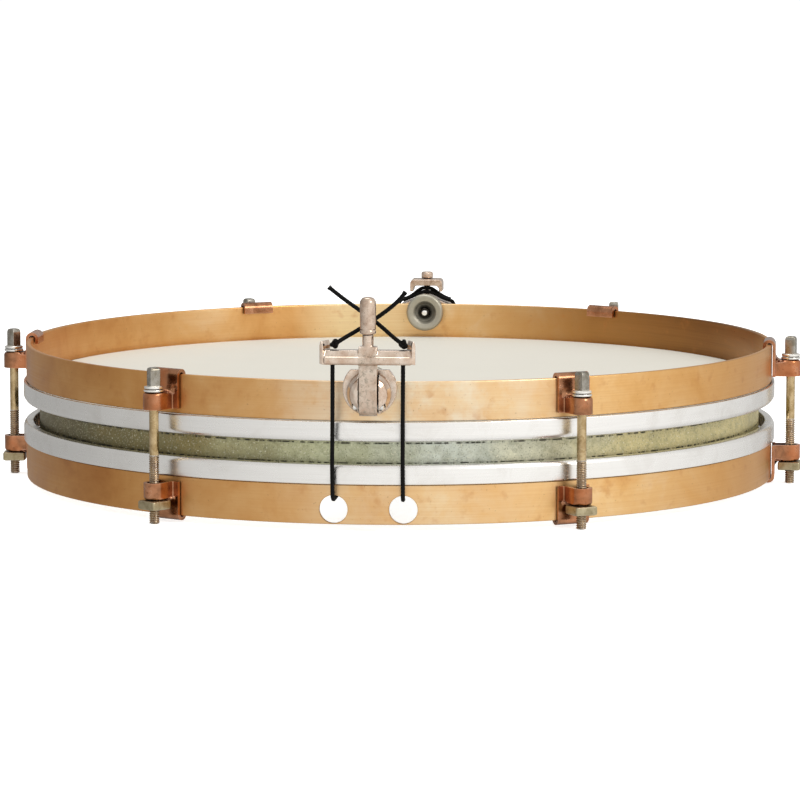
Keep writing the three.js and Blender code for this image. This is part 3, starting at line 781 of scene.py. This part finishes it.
def add_stations():
    claw = claw_mesh()
    mirror = Matrix.Translation((0, 0, 2 * MID * MM)) @ Matrix.Scale(-1, 4, (0, 0, 1))
    head_turns = (20, -14, 31, 8, 52, -29)  # degrees from square to the hoop
    nut_turns = (1, -6, 14, -11, 5, -9.5)
    washer = rounded([(2.7, 25.3), (4.75, 25.3), (4.75, 26.3), (2.7, 26.3)], 0.3, 3)
    for i, degrees in enumerate(STATION):
        number, there = i + 1, at_station(degrees)
        place = there @ Matrix.Translation((0, -ROD_CIRCLE, 0))
        copy_of(claw, f"upper_claw_{number}_sheet", there, "root", f"upper_claw_{number}")
        copy_of(claw, f"lower_claw_{number}_sheet", there @ mirror, "root", f"lower_claw_{number}")
        rod = make(f"rod_{number}_threaded", moved(rod_shape(head_turns[i]), place), ROD, 32)
        on_body(rod, f"rod_{number}", f"tension_rod_{number}")
        turned = Shape().lathe(washer, 40, ring=True, matrix=place)
        on_body(make(f"washer_{number}_turned", turned, BRIGHT), "root", f"washer_{number}")
        nut = make(f"nut_{number}_square", moved(nut_shape(nut_turns[i]), place), NUT, 28)
        on_body(nut, f"nut_{number}", f"square_nut_{number}")


# ---- throw-off and butt ----
def cast_from(node, name, material, body, voxel):
    """The CAD solid's own shape as a casting: fine even mesh with its edges softened."""
    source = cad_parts[node]
    mesh = source.data.copy()
    work = bmesh.new()
    work.from_mesh(mesh)
    bmesh.ops.remove_doubles(work, verts=work.verts, dist=1e-6)
    work.to_mesh(mesh)
    work.free()
    mesh.materials.clear()
    mesh.materials.append(material)
    obj = bpy.data.objects.new(name, mesh)
    bpy.context.scene.collection.objects.link(obj)
    modify(obj, "REMESH", mode="VOXEL", voxel_size=voxel * MM, use_smooth_shade=True)
    modify(obj, "SMOOTH", factor=0.5, iterations=5)
    apply(obj, 180)
    obj.data.materials.clear()
    obj.data.materials.append(material)
    return on_body(obj, body, node)


def thumb_nut(side, name, node):
    profile = rounded(
        [(2.8, 181.3), (9.2, 181.3), (9.8, 180.7), (9.8, 177.5), (8.8, 176.5), (6.2, 177.1), (4.6, 178.4),
         (2.8, 179.1)],
        [0.1, 0.4, 0.5, 0.9, 1.2, 1.0, 0.8, 0.2], 4,
    )

    def knurl(radius, along, angle):
        return radius - (0.12 * (0.5 + 0.5 * math.cos(60 * angle)) if radius > 9.5 else 0.0)

    shape = Shape().lathe(profile, 240, ring=True, matrix=out_from(side, *STUD_PLACE[side]), turn=knurl)
    on_body(make(name, shape, DISH_SHADE[side]), "root", node)


def stud(side, name, node):
    pitch = 0.8

    def thread(radius, along, angle):
        if not 176.2 < along < 181.6:
            return radius
        phase = (along / pitch + angle / (2 * math.pi)) % 1.0
        return radius - 0.28 * (1 - abs(2 * phase - 1))

    profile = [(1.2, 175.2), (1.45, 175.35), (2.2, 175.8), (2.5, 176.2)]
    profile += [(2.5, 176.3 + 0.1 * k) for k in range(53)] + [(2.5, 187.6)]
    shape = Shape().lathe(profile, 32, matrix=out_from(side, *STUD_PLACE[side]), turn=thread)
    on_body(make(name, shape, STUD_GLINT_AND_SHADE[side]), "root", node)


def add_strainer():
    cast_from("strainer_base", "strainer_base_casting", CAST, "root", 0.3)
    cast_from("strainer_lever", "strainer_lever_casting", CAST, "throw_off_lever", 0.28)
    pin = Shape().lathe(
        [(1.0, -7.2), (1.5, -6.9), (1.5, 6.9), (1.0, 7.2)], 32,
        matrix=Matrix.Translation(PIVOT) @ Matrix.Rotation(math.radians(90), 4, "Y"),
    )
    on_body(make("pivot_pin_rivet", pin, BRIGHT), "root", "lever_pivot_pin")
    grip = rounded(
        [(0.02, 53.2), (1.7, 53.2), (1.7, 55.4), (3.3, 55.4), (3.7, 55.9), (3.7, 56.9), (3.45, 57.3),
         (3.6, 57.8), (3.7, 70.2), (2.6, 71.9), (0.9, 72.3), (0.02, 72.3)],
        [0, 0.1, 0.1, 0.3, 0.3, 0.3, 0.3, 0.4, 1.6, 1.4, 0.5, 0], 4, closed=False,
    )
    shape = Shape().lathe(grip, 48, matrix=Matrix.Translation(GRIP_AXIS))
    on_body(make("lever_grip_sleeve", shape, NICKEL), "throw_off_lever", "lever_grip")
    thumb_nut(FRONT, "strainer_nut_dished", "strainer_thumb_nut")
    stud(FRONT, "strainer_stud_threaded", "strainer_stud")


def add_butt():
    cast_from("butt_saddle", "butt_saddle_casting", NICKEL, "root", 0.3)
    cast_from("butt_clamp", "butt_clamp_bar", NICKEL, "root", 0.25)
    head = rounded(
        [(0.02, 26.7), (1.6, 26.7), (1.6, 45.7), (2.9, 45.7), (3.15, 46.2), (3.15, 48.3), (2.6, 49.0),
         (0.02, 49.0)],
        [0, 0.1, 0.1, 0.2, 0.2, 0.5, 0.4, 0], 3, closed=False,
    )

    def knurl(radius, height, angle):
        on_head = radius > 3.0 and height > 45.5
        return radius - (0.14 * (0.5 + 0.5 * math.cos(18 * angle)) if on_head else 0.0)

    place = at_station(REAR) @ Matrix.Translation((0, -196.2, 0))
    screw = Shape().lathe(head, 72, matrix=place, turn=knurl)
    on_body(make("butt_screw_turned", screw, NICKEL), "root", "butt_clamp_screw")
    thumb_nut(REAR, "butt_nut_dished", "butt_thumb_nut")
    stud(REAR, "butt_stud_threaded", "butt_stud")


# ---- snares and cords ----
def add_snares():
    coils = Shape()
    pitch, coil_r, wire_r, sides, per_turn = 1.25, 0.62, 0.17, 3, 8
    strands, spacing, reach, height = 20, 2.1, 142, -16.7
    count = round(2 * reach / pitch * per_turn)
    for strand in range(strands):
        x0, phase = (strand - (strands - 1) / 2) * spacing, strand * 1.7
        rows = []
        for k in range(count + 1):
            a = 2 * math.pi * k / per_turn + phase
            y = -reach + 2 * reach * k / count
            row = []
            for s in range(sides):
                b = 2 * math.pi * s / sides
                r = coil_r + wire_r * math.cos(b)
                row.append((x0 + r * math.cos(a), y + wire_r * math.sin(b), height + r * math.sin(a)))
            rows.append(row)
        coils.grid(rows)
    on_body(make("snare_coils", coils, WIRE, 180), "snares", "snare_strands")
    solder, plate, edge = (140.5, 148, 20.9, -16.3, -17.1, 0.6), (141, 153, 23, -17.8, -18.8, 1.6), 0.25
    for sign, name in ((-1, "front"), (1, "rear")):
        strip = Shape()
        for inner, outer, half, top, bottom, corner in (solder, plate):
            rows = []
            for z, inset in ((bottom, edge), (bottom + edge, 0), (top - edge, 0), (top, edge)):
                near, far, wide = sign * (inner + inset), sign * (outer - inset), half - inset
                outline = rounded([(-wide, near), (wide, near), (wide, far), (-wide, far)], corner, 4)
                rows.append([(x, y, z) for x, y in outline])
            strip.grid(rows, caps=True)
        on_body(make(f"snare_plate_{name}_pressed", strip, PLATE), "snares", f"snare_plate_{name}")


# each point is x, distance out from the middle (or y, in the tails) and height
INNER_RUN = [(13.4, 153.4, -18.3), (13.8, 160, -18.6), (14.4, 168, -19.7), (15.2, 176, -20.7),
             (15.7, 181, -21.3), (15.95, 184, -21.3), (16.05, 185.9, -20.3), (16.1, 187, -18),
             (16.1, 187.4, -14)]
FRONT_RISE = [(16.1, 188.3, -6), (16.05, 189.9, 4), (16, 192, 17), (16, 194.4, 32), (16, 196.2, 43.5),
              (16, 196.5, 48.6)]
TAIL_LEFT = [(-14, -197, 51.4), (-12, -196.4, 52.6), (-9, -194.4, 54.4), (-4, -191.6, 57.2),
             (1, -190.6, 60.4), (6, -190.6, 63.8), (11.5, -190.8, 68), (15.4, -191, 71.8),
             (17.6, -191.2, 74.6)]
TAIL_RIGHT = [(17.1, -197, 51.4), (15, -196.2, 52.6), (11.6, -193.2, 54.8), (8, -189.8, 57.4),
              (3.2, -187.6, 61), (-3.8, -187.4, 66), (-11, -187.8, 71.2), (-17.6, -188.2, 76.4)]
REAR_CLIMB = [(16.1, 188.1, -6), (16.1, 188.9, 4), (16, 189.6, 16)]
REAR_LEFT = [(15.7, 190.2, 26.5), (15.1, 190.4, 31), (13.9, 190.4, 33.6), (10.2, 190.4, 35),
             (7.4, 190.4, 36.2), (5.1, 190.4, 37.45), (2.6, 190.4, 38.4), (0, 190.4, 38.75),
             (-2.6, 190.4, 38.4), (-5.1, 190.4, 37.45), (-7.4, 190.3, 36.3), (-10.2, 190, 35.1),
             (-12.4, 189.6, 34.2)]
REAR_RIGHT = [(15.8, 190.6, 26.5), (15.3, 192, 31), (14, 192.8, 33.7), (10.2, 192.9, 35.2),
              (7.6, 192.8, 36.7), (5.6, 192.4, 38.3), (4.2, 192, 39.4), (2.4, 191.2, 40.45),
              (0, 190.4, 40.85), (-2.4, 191.2, 40.45), (-4.2, 192, 39.4), (-5.6, 192.4, 38.3),
              (-7.6, 192.8, 36.9), (-10.2, 193.6, 35.4), (-12.6, 194.6, 34.4)]


def front_line(side):
    """From the snare plate up to the crossbar, leaning over with the strainer above the hoop."""
    foot, top = FRONT_RISE[0][2], FRONT_RISE[-1][2]
    return [
        (side * x + STRAINER_X * max(0.0, z - foot) / (top - foot), -r, z)
        for x, r, z in INNER_RUN + FRONT_RISE
    ]


def knot(name, centre, spin):
    """A pulled-tight overhand knot: a trefoil of cord."""
    line, steps = [], 72
    for k in range(steps):
        t = 2 * math.pi * k / steps
        x, y = math.sin(t) + 2 * math.sin(2 * t), math.cos(t) - 2 * math.cos(2 * t)
        line.append(Vector((x, 0.85 * y, -1.3 * math.sin(3 * t))) * 0.52)
    turn = Matrix.Translation(Vector(centre)) @ Matrix.Rotation(spin, 4, "Y") @ Matrix.Rotation(1.1, 4, "X")
    shape = Shape().tube([turn @ p for p in line], 0.92 * CORD_R, 12, closed=True, weave=0.08)
    return on_body(make(name, shape, CORD, 180), "throw_off_lever")


def flared(end):
    """A cut end that has opened a little."""
    return 1.0 + 0.28 * max(0.0, (end - 0.965) / 0.035)


def add_cords():
    for side, word, tail in ((-1, "left", TAIL_LEFT), (1, "right", TAIL_RIGHT)):
        line = flow(front_line(side))
        run = make(f"front_cord_{word}_run", Shape().tube(line, CORD_R, 16, weave=0.07), CORD, 180)
        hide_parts(f"front_cord_{word}")
        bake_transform(run)
        tied = knot(f"front_knot_{word}", tail[0], 0.4 + side)
        end = flow(tail)
        frayed = Shape().tube(end, CORD_R, 16, weave=0.07, taper=flared)
        loose = make(f"front_tail_{word}", frayed, CORD, 180)
        on_body(loose, "throw_off_lever", f"cord_end_{word}")
        turn = at_station(REAR)
        over = INNER_RUN + REAR_CLIMB + (REAR_LEFT if side < 0 else REAR_RIGHT)
        back = [turn @ p for p in flow([(side * x, -r, z) for x, r, z in over])]
        rear = make(f"rear_cord_{word}_run", Shape().tube(back, CORD_R, 16, weave=0.07), CORD, 180)
        on_body(rear, "root", f"rear_cord_{word}")


# ---- floor, world and lights ----
def add_floor():
    s = Surface("floor", Roughness=0.9)
    s.bsdf.inputs["Base Color"].default_value = (0.9, 0.9, 0.9, 1)
    s.bsdf.inputs["Specular IOR Level"].default_value = 0.1
    s.bsdf.inputs["Emission Color"].default_value = (1, 1, 1, 1)
    s.bsdf.inputs["Emission Strength"].default_value = 0.72
    reach = 6000
    corners = [(x * reach, y * reach, -MID) for x, y in ((-1, -1), (1, -1), (1, 1), (-1, 1))]
    floor = make("floor", Shape().add(corners, [(0, 1, 2, 3)]), s.mat)
    floor.visible_glossy = False


def add_world():
    world = bpy.data.worlds.new("studio")
    bpy.context.scene.world = world
    world.use_nodes = True
    nodes, links = world.node_tree.nodes, world.node_tree.links
    around = nodes["Background"]
    where = nodes.new("ShaderNodeTexCoord")
    towards = nodes.new("ShaderNodeVectorMath")
    towards.operation = "DOT_PRODUCT"
    towards.inputs[1].default_value = (0.707, -0.707, 0.0)  # the bright side, front right
    fade = nodes.new("ShaderNodeMapRange")
    for key, value in (("From Min", -1.0), ("From Max", 1.0), ("To Min", 0.4), ("To Max", 1.04)):
        fade.inputs[key].default_value = value
    links.new(where.outputs["Generated"], towards.inputs[0])
    links.new(towards.outputs["Value"], fade.inputs["Value"])
    links.new(fade.outputs[0], around.inputs["Strength"])
    around.inputs["Color"].default_value = (1.0, 0.99, 0.97, 1)
    seen = nodes.new("ShaderNodeBackground")
    seen.inputs["Strength"].default_value = 1.05
    seen.inputs["Color"].default_value = (1, 1, 1, 1)
    ray, choice = nodes.new("ShaderNodeLightPath"), nodes.new("ShaderNodeMixShader")
    links.new(ray.outputs["Is Camera Ray"], choice.inputs[0])
    links.new(around.outputs[0], choice.inputs[1])
    links.new(seen.outputs[0], choice.inputs[2])
    links.new(choice.outputs[0], nodes["World Output"].inputs[0])


def add_light(name, place, size, power, colour=(1, 1, 1)):
    data = bpy.data.lights.new(name, "AREA")
    data.shape, data.size, data.energy, data.color = "DISK", size, power, colour
    light = bpy.data.objects.new(name, data)
    light.location = place
    aim = Vector(place) - Vector((0, 0, 0.04))
    light.rotation_euler = aim.to_track_quat("Z", "Y").to_euler()
    bpy.context.scene.collection.objects.link(light)


def add_studio():
    add_floor()
    add_world()
    add_light("key", (1.3, -1.1, 1.2), 0.8, 11, (1.0, 0.98, 0.95))
    add_light("top", (-0.2, 0.3, 1.8), 1.2, 8)
    bpy.context.scene.view_settings.view_transform = "Standard"


add_cords()
add_shell_and_heads()
add_counterhoops()
add_stations()
add_strainer()
add_butt()
add_snares()
add_studio()
